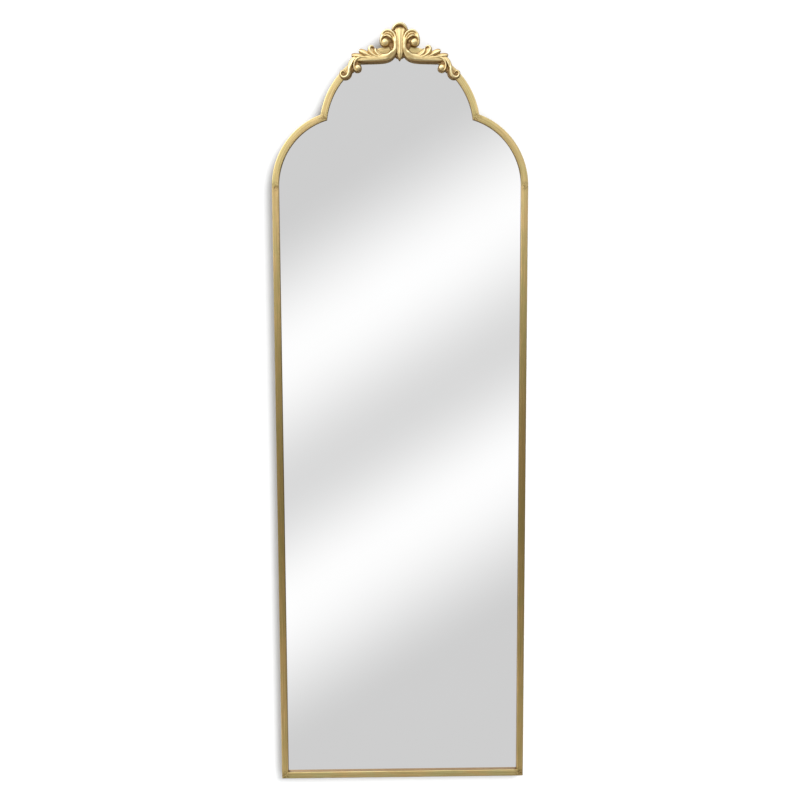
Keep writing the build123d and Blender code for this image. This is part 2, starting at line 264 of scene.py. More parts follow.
def plated_steel():
    """Zinc plate: bluish grey spangle with fine scratches."""
    made, t = material("zinc_plate", "plated_steel")
    here = t.here()
    spangle = t.node("ShaderNodeTexVoronoi", {"Vector": here, "Scale": 420.0})
    scratch = t.noise(here, 1.0, 3.0, 0.6, (260, 260, 4200))
    tone = t.math("ADD", t.math("MULTIPLY", spangle.outputs["Distance"], 0.5), t.math("MULTIPLY", scratch, 0.5))
    colour = t.mix(t.spread(tone, 0.25, 0.65), (0.44, 0.46, 0.48), (0.66, 0.67, 0.67))
    rough = t.spread(tone, 0.25, 0.7, 0.28, 0.48)
    finish_material(t, Base_Color=colour, Metallic=1.0, Roughness=rough, bump=(scratch, 0.2, 0.0001))
    return made


def fibre_board():
    """Hardboard back: brown fibres, flecks and a faint woven press mark."""
    made, t = material("fibre_board", "back_board")
    here = t.here()
    fibre = t.noise(here, 1.0, 6.0, 0.7, (900, 900, 320))
    cloud = t.noise(here, 22, 5.0, 0.6)
    fleck = t.noise(here, 1400, 2.0, 0.5)
    weave_x = t.node("ShaderNodeTexWave", {"Vector": here, "Scale": 330.0, "Distortion": 0.6}, bands_direction="X")
    weave_z = t.node("ShaderNodeTexWave", {"Vector": here, "Scale": 330.0, "Distortion": 0.6}, bands_direction="Z")
    weave = t.math("MULTIPLY", weave_x.outputs["Fac"], weave_z.outputs["Fac"])
    body = t.mix(t.spread(fibre, 0.32, 0.68), (0.175, 0.098, 0.05), (0.31, 0.19, 0.105))
    body = t.mix(t.spread(cloud, 0.3, 0.75, 0.0, 0.5), body, (0.36, 0.24, 0.14))
    body = t.mix(t.spread(fleck, 0.66, 0.74, 0.0, 0.7), body, (0.09, 0.05, 0.03))
    height = t.math("ADD", t.math("MULTIPLY", weave, 0.5), t.math("MULTIPLY", fibre, 0.6))
    finish_material(t, Base_Color=body, Roughness=0.72, bump=(height, 0.5, 0.0003))
    return made


def rubber():
    """Black moulded rubber, dusty on its high spots."""
    made, t = material("moulded_rubber", "rubber")
    here = t.here()
    grain = t.noise(here, 2400, 3.0, 0.6)
    dust = t.noise(here, 240, 4.0, 0.6)
    colour = t.mix(t.spread(dust, 0.4, 0.75), (0.017, 0.017, 0.018), (0.06, 0.058, 0.055))
    finish_material(t, Base_Color=colour, Roughness=0.66, bump=(grain, 0.35, 0.00015))
    return made


def film():
    """Woven safety film on the glass's back."""
    made, t = material("woven_film", "backing_film")
    here = t.here()
    weave = t.node("ShaderNodeTexChecker", {"Vector": here, "Scale": 900.0})
    tone = t.noise(here, 60, 3.0, 0.5)
    colour = t.mix(weave.outputs["Fac"], (0.55, 0.56, 0.58), (0.68, 0.69, 0.70))
    colour = t.mix(t.spread(tone, 0.3, 0.8, 0.0, 0.4), colour, (0.47, 0.48, 0.50))
    finish_material(t, Base_Color=colour, Roughness=0.5)
    return made


def foam():
    """Closed-cell foam tape."""
    made, t = material("closed_cell_foam", "foam_tape")
    here = t.here()
    cells = t.node("ShaderNodeTexVoronoi", {"Vector": here, "Scale": 1500.0}).outputs["Distance"]
    colour = t.mix(t.spread(cells, 0.1, 0.6), (0.78, 0.78, 0.76), (0.60, 0.60, 0.58))
    finish_material(t, Base_Color=colour, Roughness=0.85, bump=(cells, 0.4, 0.0002))
    return made


CREST = cast_gold()
WELD = weld_gold()
SILVER = mirror_silver()
ZINC = plated_steel()
BOARD = fibre_board()
RUBBER = rubber()
FILM = film()
FOAM = foam()


# ---------------------------------------------------------------- mesh helpers


def add_mesh(name, verts, faces, finish, body="frame", smooth=40.0):
    """A new piece from its points and faces, riding on a body."""
    data = bpy.data.meshes.new(name)
    data.from_pydata([tuple(v) for v in verts], [], faces)
    data.validate()
    piece = bpy.data.objects.new(name, data)
    scene.collection.objects.link(piece)
    return dress(piece, finish, body, smooth)


def dress(piece, finish, body="frame", smooth=40.0):
    """Give a piece its material, its shading and its body. Smooth is the angle of a sharp edge."""
    piece.data.materials.clear()
    piece.data.materials.append(finish)
    piece.data.shade_smooth()
    if smooth:
        piece.data.set_sharp_from_angle(angle=radians(smooth))
    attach(piece, body)
    return piece


def tube_faces(rows, sides):
    """Faces of a tube whose points run ring by ring, closed at both ends."""
    faces = [
        (r * sides + k, r * sides + (k + 1) % sides, (r + 1) * sides + (k + 1) % sides, (r + 1) * sides + k)
        for r in range(rows - 1) for k in range(sides)
    ]
    return faces + [tuple(range(sides)), tuple(range((rows - 1) * sides, rows * sides))]


def evaluated_mesh(piece, name):
    """A piece's mesh with its modifiers or bevel applied."""
    made = bpy.data.meshes.new_from_object(piece.evaluated_get(bpy.context.evaluated_depsgraph_get()))
    made.name = name
    return made


def outward(piece):
    """Turn every face outward."""
    bm = bmesh.new()
    bm.from_mesh(piece.data)
    bmesh.ops.recalc_face_normals(bm, faces=bm.faces)
    bm.to_mesh(piece.data)
    bm.free()
    return piece


def rounded(corners, steps=4):
    """A closed outline with each (x, y, radius) corner rounded off."""
    points = []
    count = len(corners)
    for i, (x, y, radius) in enumerate(corners):
        here = Vector((x, y))
        to_last = (Vector(corners[i - 1][:2]) - here).normalized()
        to_next = (Vector(corners[(i + 1) % count][:2]) - here).normalized()
        if radius <= 0:
            points.append(here)
            continue
        half = to_last.angle(to_next) / 2
        cut = radius / np.tan(half)
        centre = here + (to_last + to_next).normalized() * (radius / sin(half))
        start = here + to_last * cut - centre
        end = here + to_next * cut - centre
        turn = start.angle_signed(end)
        for step in range(steps + 1):
            spin = Matrix.Rotation(-turn * step / steps, 2)
            points.append(centre + spin @ start)
    return points


def spline(points, step):
    """A smooth line through points of any width, sampled about every step of its first two numbers."""
    p = np.array(points, float)
    padded = np.vstack([2 * p[0] - p[1], p, 2 * p[-1] - p[-2]])
    out = []
    for i in range(len(p) - 1):
        a, b, c, d = padded[i:i + 4]
        run = hypot(*(c - b)[:2])
        count = max(int(round(run / step)), 1)
        for k in range(count):
            t = k / count
            out.append(
                0.5 * (2 * b + (c - a) * t + (2 * a - 5 * b + 4 * c - d) * t**2 + (3 * b - a - 3 * c + d) * t**3)
            )
    out.append(p[-1])
    return np.array(out)


# --------------------------------------------------------------- frame members


def cusp(inset):
    """Where the right shoulder meets the arch, on an outline this far inside the edge."""
    across, up = -SHOULDER_X, ARCH_Z - SPRING
    reach = hypot(across, up)
    shoulder, arch = SHOULDER_R - inset, ARCH_R - inset
    along = (shoulder**2 - arch**2 + reach**2) / (2 * reach)
    aside = sqrt(shoulder**2 - along**2)
    return (
        SHOULDER_X + (along * across + aside * up) / reach,
        SPRING + (along * up - aside * across) / reach,
    )


def rail_line(inset, t):
    end = HALF_WIDTH - inset
    return end * (2 * t - 1), inset


def stile_line(side):
    def line(inset, t):
        return side * (HALF_WIDTH - inset), inset + (SPRING - inset) * t
    return line


def shoulder_line(side):
    def line(inset, t):
        x, z = cusp(inset)
        angle = atan2(z - SPRING, x - SHOULDER_X) * t
        radius = SHOULDER_R - inset
        return side * (SHOULDER_X + radius * cos(angle)), SPRING + radius * sin(angle)
    return line


def arch_line(inset, t):
    x, z = cusp(inset)
    start = atan2(z - ARCH_Z, x)
    angle = start + (pi - 2 * start) * t
    radius = ARCH_R - inset
    return radius * cos(angle), ARCH_Z + radius * sin(angle)


# The bar's skin as (inward from the outer edge, back from the face)
SKIN = rounded([
    (0, 0, 1.5 * MM), (FACE, 0, 1.5 * MM), (FACE, BOX_DEPTH, 0.9 * MM),
    (LEG, BOX_DEPTH, 0.0), (LEG, DEPTH, 0.5 * MM), (0, DEPTH, 0.5 * MM),
], steps=5)
# How far a member's end is drawn in
SEAM = 0.16 * MM
# The length around the skin up to each point, and the span of it that is darkened as painted shade where the bar
# meets the glass
AROUND = [0.0]
for i, point in enumerate(SKIN):
    AROUND.append(AROUND[-1] + (SKIN[(i + 1) % len(SKIN)] - point).length)
INNER = [v for point, v in zip(SKIN, AROUND) if point.x > FACE - 1.0 * MM and point.y > BOX_DEPTH - 2.0 * MM]
SHADE_SPAN = (min(INNER) - 6.4 * MM, max(INNER))
GOLD = brushed_gold("brushed_gold", SHADE_SPAN, (0.66, 0.54, 0.245))
# The bottom rail's copy of the gold is tinted greener: a painted reflection, standing in for the greener light the
# rail mirrors
GREEN_REFLECTION_GOLD = brushed_gold("brushed_gold_rail", SHADE_SPAN, (0.70, 0.64, 0.31))


def inset_skin(amount):
    """The bar's skin drawn in by this amount, for the lip of a seam."""
    out = []
    count = len(SKIN)
    for i in range(count):
        edge = SKIN[(i + 1) % count] - SKIN[i - 1]
        inward = Vector((-edge.y, edge.x)).normalized()
        out.append(SKIN[i] + inward * amount)
    return out


def bar(name, line, stations, length):
    """Sweep the skin along a member. Its ends are drawn in a little, so that each joint shows."""
    tight = inset_skin(SEAM)
    lip = SEAM / length
    steps = [0.0, lip] + [k / stations for k in range(1, stations)] + [1 - lip, 1.0]
    verts, uvs = [], []
    for step in steps:
        skin = tight if step in (0.0, 1.0) else SKIN
        for point in skin:
            x, z = line(point.x, step)
            verts.append((x, FRONT + point.y, z))
    n = len(SKIN)
    data = bpy.data.meshes.new(name)
    data.from_pydata(verts, [], tube_faces(len(steps), n))
    layer = data.uv_layers.new(name="along")
    offset = sum(ord(c) for c in name) * 0.37
    for face in data.polygons:
        ring = [data.loops[i].vertex_index for i in face.loop_indices]
        wraps = len(ring) == 4 and {0, n - 1} <= {v % n for v in ring}
        for loop, vertex in zip(face.loop_indices, ring):
            step, k = divmod(vertex, n)
            v = AROUND[n] if wraps and k == 0 else AROUND[k]
            layer.data[loop].uv = (offset + steps[step] * length, v)
    piece = bpy.data.objects.new(name, data)
    scene.collection.objects.link(piece)
    outward(piece)
    return dress(piece, GREEN_REFLECTION_GOLD if name.endswith("rail") else GOLD, smooth=35.0)


members = {
    "bottom_rail": (rail_line, 2, 2 * HALF_WIDTH),
    "left_stile": (stile_line(-1), 2, SPRING),
    "right_stile": (stile_line(1), 2, SPRING),
    "left_shoulder": (shoulder_line(-1), 44, SHOULDER_R * 1.2),
    "right_shoulder": (shoulder_line(1), 44, SHOULDER_R * 1.2),
    "top_arch": (arch_line, 96, ARCH_R * pi),
}
for name, (line, stations, length) in members.items():
    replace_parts(bar("dressed_" + name, line, stations, length), name)


# ----------------------------------------------------------------------- crest

# Sections of the carving run from the left of a stroke's travel to its right, as shares of its half
# width and relief.
STEM = ((-1, 0.28), (-0.93, 0.46), (-0.82, 0.60), (-0.7, 0.66), (-0.6, 0.66), (-0.54, 0.74), (-0.46, 0.88),
        (-0.36, 0.95), (-0.1, 0.96), (0.2, 0.97), (0.38, 0.97), (0.58, 0.955), (0.78, 0.91), (0.92, 0.83), (1, 0.73))
BEND = ((-1, 0.45), (-0.9, 0.66), (-0.72, 0.80), (-0.5, 0.86), (-0.36, 0.87), (-0.2, 0.90), (0.05, 0.95),
        (0.3, 0.99), (0.48, 1.0), (0.62, 0.95), (0.76, 0.84), (0.9, 0.66), (1, 0.46))
BODY = ((-1, 0.72), (-0.92, 0.82), (-0.78, 0.86), (-0.58, 0.96), (-0.38, 1.0), (-0.15, 0.99), (0.05, 0.95),
        (0.25, 0.87), (0.45, 0.75), (0.65, 0.58), (0.85, 0.38), (1, 0.22))
FAN = ((-1, 0.36), (-0.9, 0.68), (-0.72, 0.86), (-0.5, 0.85), (-0.22, 0.68), (-0.04, 0.80), (0.10, 0.82),
       (0.31, 0.70), (0.48, 0.90), (0.64, 1.0), (0.80, 0.95), (0.92, 0.70), (1, 0.45))
ROUND = ((-1, 0.35), (-0.82, 0.72), (-0.5, 0.93), (-0.1, 1.0), (0.3, 0.96), (0.7, 0.74), (1, 0.38))
UPPER_S = ((-1, 0.35), (-0.82, 0.66), (-0.5, 0.80), (-0.15, 0.82), (0.15, 0.93), (0.4, 1.0), (0.65, 0.9), (1, 0.4))
LOWER_S = ((-1, 0.40), (-0.75, 0.76), (-0.45, 0.95), (-0.2, 1.0), (0.1, 0.93), (0.4, 0.76), (0.7, 0.55), (1, 0.28))
LEAF = ((-1, 0.50), (-0.86, 0.68), (-0.6, 0.72), (-0.3, 0.80), (0, 0.94), (0.2, 1.0), (0.45, 0.95), (0.72, 0.82),
        (0.9, 0.68), (1, 0.50))
STALK = ((-1, 0.72), (-0.88, 0.86), (-0.68, 0.93), (-0.46, 0.88), (-0.24, 0.95), (0, 1.0), (0.24, 0.95),
         (0.46, 0.88), (0.68, 0.93), (0.88, 0.84), (1, 0.60))
RIM = ((-1, 0.35), (-0.85, 0.68), (-0.6, 0.88), (-0.25, 1.0), (0.1, 1.0), (0.45, 0.93), (0.75, 0.74), (0.92, 0.5),
       (1, 0.25))
FLAT = ((-1, 0.85), (0, 1.0), (1, 0.85))

# Strokes of the right half, as (x, z, half width, relief, section), in millimetres. Z counts from
# a line 1600 up the mirror, and a point without a section keeps the last one.
STROKES = (
    # scroll: in along the stem, up beside the stalk, over the fan and round the knob
    ((92, 24.2, 6.4, 10, STEM), (84, 24.2, 7.4, 11.5), (72, 24.8, 7.8, 12.5), (56, 25.4, 8.0, 13),
     (42, 26.3, 8.3, 13.5), (31, 27.9, 8.5, 14.2), (21.8, 31.6, 8.3, 15, BEND), (15.3, 37.8, 7.8, 15.6),
     (11.9, 46, 6.8, 16, BODY), (11.1, 55, 6.1, 16), (11.9, 63.5, 6.4, 16), (14.4, 71.3, 7.6, 16, FAN),
     (19.6, 77.4, 8.9, 15.8),
     (26.6, 79.8, 8.8, 15.3), (33.0, 77.6, 7.0, 14.8), (38.0, 71.6, 4.6, 14.2, ROUND), (40.6, 64.6, 3.0, 13.4),
     (39.7, 57.6, 2.8, 12.4), (35.6, 53.4, 2.6, 11.2), (30, 52.4, 2.0, 9.8)),
    # lower curl
    ((76, 29.6, 2.8, 11, ROUND), (85, 28.6, 3.3, 12.3), (91, 26.2, 3.6, 12.8), (95.6, 21.8, 3.5, 12.8),
     (98, 15.8, 3.2, 12.6), (98.5, 9.4, 2.9, 12.2), (97, 3.8, 2.6, 11.4), (93.8, 1.0, 2.1, 10), (90, 0.2, 1.6, 8.6)),
    # outer scroll and its volute
    ((82, 29.4, 2.4, 9.5, UPPER_S), (91, 29, 3.6, 11.8), (98.4, 26.2, 4.6, 13.2), (103.4, 20.6, 5.1, 13.8),
     (106.6, 13.6, 5.2, 13.8), (107.8, 6.4, 5.4, 13.6, LOWER_S), (108.4, -0.6, 5.8, 13.4), (110.6, -7.4, 5.6, 13),
     (114.8, -11.5, 4.8, 12.4), (120, -12.8, 3.9, 11.8, ROUND), (125, -11.2, 3.3, 11.4), (127.6, -6.7, 3.0, 11),
     (126.8, -1.8, 2.9, 10.8), (122.8, 0.6, 2.8, 10.6), (118.9, -1.0, 2.5, 10.2), (117.8, -4.4, 1.7, 9.4)),
    # four acanthus lobes
    ((24, 31, 3.0, 12, LEAF), (34, 31.6, 4.2, 13), (42.5, 34.0, 5.4, 13.4), (48.8, 38.4, 5.8, 13.2),
     (51.6, 43.6, 4.9, 12.6), (51.6, 47.4, 3.1, 11)),
    ((38, 29, 3.6, 12.5, LEAF), (48.5, 31.4, 4.8, 13.4), (56.6, 35.6, 5.6, 13.8), (62.2, 41.4, 6.2, 13.8),
     (64, 47.4, 5.2, 13.4), (61.8, 51.2, 3.8, 12.6), (58.2, 51, 2.9, 11.6), (56.4, 48.4, 1.9, 10)),
    ((52, 29, 3.6, 12.5, LEAF), (63, 32.6, 5.0, 13), (72, 37.0, 5.8, 13), (79.5, 40.6, 5.7, 12.6),
     (84.8, 42.8, 4.6, 11.6), (87.4, 43.8, 3.0, 9.6)),
    ((66, 28.6, 3.6, 12.5, LEAF), (78, 30.4, 4.8, 12.8), (88, 32.2, 5.2, 12.4), (96, 33.2, 4.8, 11.6),
     (101.6, 33.6, 3.8, 10.4), (104.0, 33.7, 2.3, 8.6)),
    # low webs that close the spaces between them
    ((26, 33, 4, 9, FLAT), (60, 34, 6, 9.5), (84, 33, 5, 8.5), (98, 31, 3.5, 7.5)),
    ((53, 40, 4, 8.5, FLAT), (58, 45.5, 4.6, 8.5), (60.5, 49.5, 3.4, 8.5)),
    ((89, 17, 3.5, 8, FLAT), (94, 14, 5, 8), (100, 8, 5, 8), (104, 0, 3, 7.5)),
    ((107, 3, 4, 9.5, FLAT), (113, -2, 5, 9.5), (120, -6, 4.5, 8), (125, -6, 3, 8)),
    ((8, 78, 4, 9, FLAT), (13, 84.5, 4.5, 9), (16, 87, 2.5, 8.5)),
    ((13, 45, 4, 8, FLAT), (17.5, 51, 4.5, 8), (22, 57, 4, 8)),
)
# Strokes on the middle line, which aren't mirrored
MIDDLE = (
    # cap
    ((-15.2, 86, 2.2, 11, RIM), (-13.4, 90.8, 3.2, 13.6), (-8.2, 96.4, 3.8, 15.4), (0, 98.7, 3.9, 16),
     (8.2, 96.4, 3.8, 15.4), (13.4, 90.8, 3.2, 13.6), (15.2, 86, 2.2, 11)),
    # stalk, from the top down
    ((0, 95, 10.5, 7.5, STALK), (0, 90.5, 12.2, 9.5), (0, 85, 12.0, 11.6), (0, 78, 9.6, 13), (0, 68, 7.4, 14.2),
     (0, 56, 6.3, 14.8), (0, 46, 6.1, 15), (0, 38, 6.6, 14.8), (0, 32, 5.3, 13.4), (0, 27.5, 2.9, 11.4),
     (0, 24.2, 0.9, 8.8)),
    # the low floor behind them
    ((0, 90, 13, 7.5, FLAT), (0, 80, 13, 8), (0, 60, 9, 8), (0, 44, 9, 8), (0, 34, 11, 8), (0, 29, 6, 7)),
)
# Knobs, as (x, z, radius, relief): the two curls' ends, and the low floor of the fan
KNOBS = ((31.2, 60.6, 10.5, 15.4), (27, 65, 13.5, 10), (90.6, 7.4, 8.5, 12.8))
ZERO = 1.6
# Where across its width a section is sampled
SHARES = np.linspace(-1, 1, 25)
VOXEL = 0.6 * MM
BACK_CUT = 0.5 * MM
# The stain: its grid's cell, the blurs' reach in cells, how deep a full hollow is, and the height
# under which a floor counts as one
STAIN_CELL = 0.5 * MM
STAIN_WIDE, STAIN_CLOSE = 4.0, 1.5
STAIN_DEPTH = 2.6 * MM
STAIN_FLOOR, STAIN_FADE = 9.7 * MM, 4 * MM


def stroke(route, mirrored, step=0.9):
    """Points and faces of one stroke of the carving, closed and flat at its back."""
    rows, section = [], None
    for x, z, half, relief, *own in route:
        section = own[0] if own else section
        rows.append((x, z, half, relief, *np.interp(SHARES, *zip(*section))))
    line = spline(rows, step)
    back = -FRONT / MM
    verts = []
    for i, (x, z, half, relief, *heights) in enumerate(line):
        before, after = line[max(i - 1, 0)], line[min(i + 1, len(line) - 1)]
        along = Vector((after[0] - before[0], after[1] - before[1])).normalized()
        ring = [(-1, 0), *zip(SHARES, heights), (1, 0)]
        for u, v in ring:
            verts.append((mirrored * (x + along.y * half * u), -(back + relief * v), z - along.x * half * u))
    return verts, tube_faces(len(line), len(SHARES) + 2)


def dome(x, z, radius, relief, mirrored, rings=9, sides=32):
    """Points and faces of a rounded knob standing on the crest's back."""
    back = -FRONT / MM
    profile = [(1.0, 0.0), (1.0, 0.2)]
    profile += [(cos(a), 0.2 + 0.8 * sin(a)) for a in np.linspace(0.2, pi / 2 - 0.1, rings)]
    verts = [
        (mirrored * (x + radius * across * cos(turn)), -(back + relief * up), z + radius * across * sin(turn))
        for across, up in profile for turn in np.linspace(0, 2 * pi, sides, endpoint=False)
    ]
    return verts, tube_faces(len(profile), sides)


def blur(grid, reach):
    """A grid smoothed by a bell curve of this many cells."""
    span = int(3 * reach)
    bell = np.exp(-0.5 * (np.arange(-span, span + 1) / reach) ** 2)
    bell /= bell.sum()
    for axis in (0, 1):
        grid = np.apply_along_axis(lambda row: np.convolve(row, bell, mode="same"), axis, grid)
    return grid


def cast_strokes():
    """All strokes and knobs, fused into one casting."""
    bm = bmesh.new()
    shapes = []
    for side in (1, -1):
        shapes += [stroke(route, side) for route in STROKES]
        shapes += [dome(*knob, side) for knob in KNOBS]
    shapes += [stroke(route, 1) for route in MIDDLE]
    for verts, faces in shapes:
        made = [bm.verts.new((x * MM, y * MM, ZERO + z * MM)) for x, y, z in verts]
        for face in faces:
            bm.faces.new([made[i] for i in face])
    bmesh.ops.recalc_face_normals(bm, faces=bm.faces)
    data = bpy.data.meshes.new("dressed_crest")
    bm.to_mesh(data)
    bm.free()
    piece = bpy.data.objects.new("dressed_crest", data)
    scene.collection.objects.link(piece)
    remesh = piece.modifiers.new("cast", "REMESH")
    remesh.mode = "VOXEL"
    remesh.voxel_size = VOXEL
    soft = piece.modifiers.new("soft", "SMOOTH")
    soft.factor = 0.5
    soft.iterations = 3
    done = evaluated_mesh(piece, "dressed_crest")
    piece.modifiers.clear()
    piece.data = done
    return piece


def seat_back(data):
    """Cut the casting's back off flat, and seat it on the frame's face."""
    bm = bmesh.new()
    bm.from_mesh(data)
    cut = bmesh.ops.bisect_plane(
        bm, geom=bm.verts[:] + bm.edges[:] + bm.faces[:],
        plane_co=(0, FRONT - BACK_CUT, 0), plane_no=(0, 1, 0), clear_outer=True,
    )
    rim = [part for part in cut["geom_cut"] if isinstance(part, bmesh.types.BMEdge)]
    for edge in rim:
        edge.smooth = False
        for vert in edge.verts:
            vert.co.y = FRONT
    bmesh.ops.triangle_fill(bm, edges=rim, use_beauty=True)
    bmesh.ops.recalc_face_normals(bm, faces=bm.faces)
    bm.to_mesh(data)
    bm.free()


def stain_hollows(data, co, low, high):
    """Note how far each point lies below its surroundings, from 0 on ridges to 1 in hollows. Low
    floors count as hollows, and the flat back is in between."""
    size = ((np.array(high) - np.array(low)) / STAIN_CELL).astype(int) + 3
    relief = np.zeros((size[0], size[2]))
    ix = ((co[:, 0] - low[0]) / STAIN_CELL).astype(int) + 1
    iz = ((co[:, 2] - low[2]) / STAIN_CELL).astype(int) + 1
    height = FRONT - co[:, 1]
    np.maximum.at(relief, (ix, iz), height)
    filled = (relief > 0).astype(float)
    around = blur(relief, STAIN_WIDE) / np.maximum(blur(filled, STAIN_WIDE), 0.02)
    near = blur(relief, STAIN_CLOSE) / np.maximum(blur(filled, STAIN_CLOSE), 0.02)
    deep = 0.5 + (around[ix, iz] - 0.5 * (height + near[ix, iz])) / STAIN_DEPTH
    deep = np.maximum(deep, 0.5 + (STAIN_FLOOR - height) / STAIN_FADE)
    deep = np.where(height < 0.2 * MM, 0.6, deep)
    attribute = data.attributes.new("hollow", "FLOAT", "POINT")
    attribute.data.foreach_set("value", np.clip(deep, 0, 1).astype(np.float32))


def carve_crest():
    """The crest: cast, cut flat behind, kept within the CAD's box, and stained in its hollows."""
    piece = cast_strokes()
    data = piece.data
    seat_back(data)
    co = np.empty(len(data.vertices) * 3, np.float32)
    data.vertices.foreach_get("co", co)
    low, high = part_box("crest_casting")
    co = np.clip(co.reshape(-1, 3), np.array(low), np.array(high))
    data.vertices.foreach_set("co", co.ravel())
    data.update()
    stain_hollows(data, co, low, high)
    dress(piece, CREST, smooth=None)
    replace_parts(piece, "crest_casting")


carve_crest()


# --------------------------------------------------------------- back hardware


def wire(name, points, radius, finish, body):
    """A round closed wire through points."""
    curve = bpy.data.curves.new(name, "CURVE")
    curve.dimensions = "3D"
    curve.bevel_depth = radius
    curve.bevel_resolution = 5
    line = curve.splines.new("POLY")
    line.points.add(len(points) - 1)
    for point, place in zip(line.points, points):
        point.co = (*place, 1)
    line.use_cyclic_u = True
    shaped = bpy.data.objects.new(name + "_line", curve)
    scene.collection.objects.link(shaped)
    data = evaluated_mesh(shaped, name)
    bpy.data.objects.remove(shaped)
    piece = bpy.data.objects.new(name, data)
    scene.collection.objects.link(piece)
    return dress(piece, finish, body, smooth=60.0)


def hanger_ring(side, body):
    """A D-shaped ring: a straight bar in the strap's loop, two arms and a bow."""
    flat = []
    for x, start in ((RING_HALF, -pi / 2), (-RING_HALF, pi)):
        cx = x - (RING_CORNER if x > 0 else -RING_CORNER)
        turn = [start + pi / 2 * k / 6 for k in range(7)]
        flat.append([(cx + RING_CORNER * cos(a), RING_CORNER + RING_CORNER * sin(a)) for a in turn])
    spread = [pi * k / 28 for k in range(29)]
    bow = [(RING_HALF * cos(a), RING_ARM + RING_HALF * sin(a)) for a in spread]
    points = [
        (side * HANGER_X + x, HINGE_Y + z * sin(RING_TILT), HINGE_Z - z * cos(RING_TILT))
        for x, z in flat[0] + bow + flat[1]
    ]
    return wire("dressed_" + body, points, RING_WIRE, ZINC, body)


for side, body in ((-1, "left_ring"), (1, "right_ring")):
    name = ("left" if side < 0 else "right") + "_hanger_ring"
    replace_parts(hanger_ring(side, body), name)


def pan_screw(name, x, y, z, radius, height):
    """A pan head with a cross recess, its seat at y and its crown behind."""
    sides = 40
    profile = [(1.0, 0.0), (1.0, 0.34), (0.97, 0.56), (0.88, 0.78), (0.72, 0.92), (0.48, 0.985), (0.2, 1.0)]
    verts = []
    for across, up in profile:
        for k in range(sides):
            turn = 2 * pi * k / sides
            verts.append((x + radius * across * cos(turn), y + height * up, z + radius * across * sin(turn)))
    head = outward(add_mesh(name, verts, tube_faces(len(profile), sides), ZINC, smooth=30.0))

    # The recess is a tapered cross, cut out of the head
    arm, wing = radius * 0.52, radius * 0.13
    outline = []
    for quarter in range(4):
        spin = Matrix.Rotation(quarter * pi / 2 + 0.3, 2)
        for px, pz in ((arm, -wing), (arm, wing), (wing, wing)):
            outline.append(spin @ Vector((px, pz)))
    n = len(outline)
    cutter_verts = [(x + p.x, y + height * 1.2, z + p.y) for p in outline]
    cutter_verts += [(x + p.x * 0.45, y + height * 0.3, z + p.y * 0.45) for p in outline]
    cutter = outward(add_mesh(name + "_cut", cutter_verts, tube_faces(2, n), ZINC))
    cut = head.modifiers.new("recess", "BOOLEAN")
    cut.object = cutter
    cut.solver = "EXACT"
    done = evaluated_mesh(head, name)
    head.modifiers.clear()
    head.data = done
    bpy.data.objects.remove(cutter)
    done.shade_smooth()
    done.set_sharp_from_angle(angle=radians(30))
    return head


for k, (x, drop) in enumerate(HANGER_SCREWS):
    screw = pan_screw(f"hanger_screw_head_{k}", x, STRAP_BACK, HINGE_Z - drop * MM, *HANGER_HEAD)
    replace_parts(screw, "hanger_screws")
for k, rise in enumerate(CREST_SCREWS):
    screw = pan_screw(f"crest_screw_head_{k}", 0, BRACKET_BACK, CROWN + rise * MM, *CREST_HEAD)
    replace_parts(screw, "crest_screws")


def bead(name, points, radius):
    """A rippled weld bead laid along points."""
    sides, verts = 14, []
    line = spline(points, 0.25 * MM)
    for i, place in enumerate(line):
        along = Vector(line[min(i + 1, len(line) - 1)] - line[max(i - 1, 0)]).normalized()
        across = along.cross(Vector((0, 1, 0))).normalized()
        over = across.cross(along)
        ends = min(i, len(line) - 1 - i, 4) / 4
        ripple = radius * (0.35 + 0.65 * sqrt(ends)) * (0.84 + 0.16 * abs(sin(i * 0.52)))
        for k in range(sides):
            turn = 2 * pi * k / sides
            verts.append(Vector(place) + (across * cos(turn) + over * sin(turn)) * ripple)
    return outward(add_mesh(name, verts, tube_faces(len(line), sides), WELD, smooth=60.0))


# The bead follows the arch's fall along the bracket's foot
low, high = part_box("crest_bracket")
foot = [(x, high[1] + 0.3 * MM, CROWN + 0.3 * MM - x * x / (2 * ARCH_R)) for x in np.linspace(low[0], high[0], 9)]
bead("bracket_weld", foot, 1.3 * MM)


# The CAD nodes that stay get their materials
for name, finish in (
    ("mirror_glass", SILVER),
    ("safety_film", FILM),
    ("mounting_tape", FOAM),
    ("back_board", BOARD),
    ("setting_blocks", RUBBER),
    ("retaining_tabs", ZINC),
    ("left_hanger_strap", ZINC),
    ("right_hanger_strap", ZINC),
    ("wall_bumpers", RUBBER),
    ("crest_bracket", WELD),
):
    nodes[name].data.materials.clear()
    nodes[name].data.materials.append(finish)


# -------------------------------------------------------- stage, light, camera


# The bands' tones, by how far a reflection slopes from lower left to upper right
BANDS = (
    (-1.1, 0.66), (-0.68, 0.96), (-0.3, 0.624), (-0.055, 0.624), (0.045, 1.0), (0.133, 0.70),
    (0.215, 1.0), (0.325, 0.624), (0.47, 0.624), (0.7, 0.95), (0.95, 0.66),
)
# What the gold and the plated steel see, from straight down (0) to straight up (1)
STUDIO = (
    (0.0, (0.12, 0.11, 0.10)), (0.25, (0.34, 0.325, 0.30)), (0.295, (0.38, 0.365, 0.345)),
    (0.318, (0.30, 0.28, 0.25)), (0.35, (0.13, 0.117, 0.085)), (0.39, (0.07, 0.060, 0.036)),
    (0.44, (0.10, 0.088, 0.057)), (0.47, (0.185, 0.17, 0.132)), (0.51, (0.42, 0.41, 0.395)),
    (0.56, (0.70, 0.71, 0.73)), (0.66, (0.82, 0.85, 0.93)), (0.8, (0.93, 0.95, 1.0)), (1.0, (0.98, 0.98, 1.0)),
)
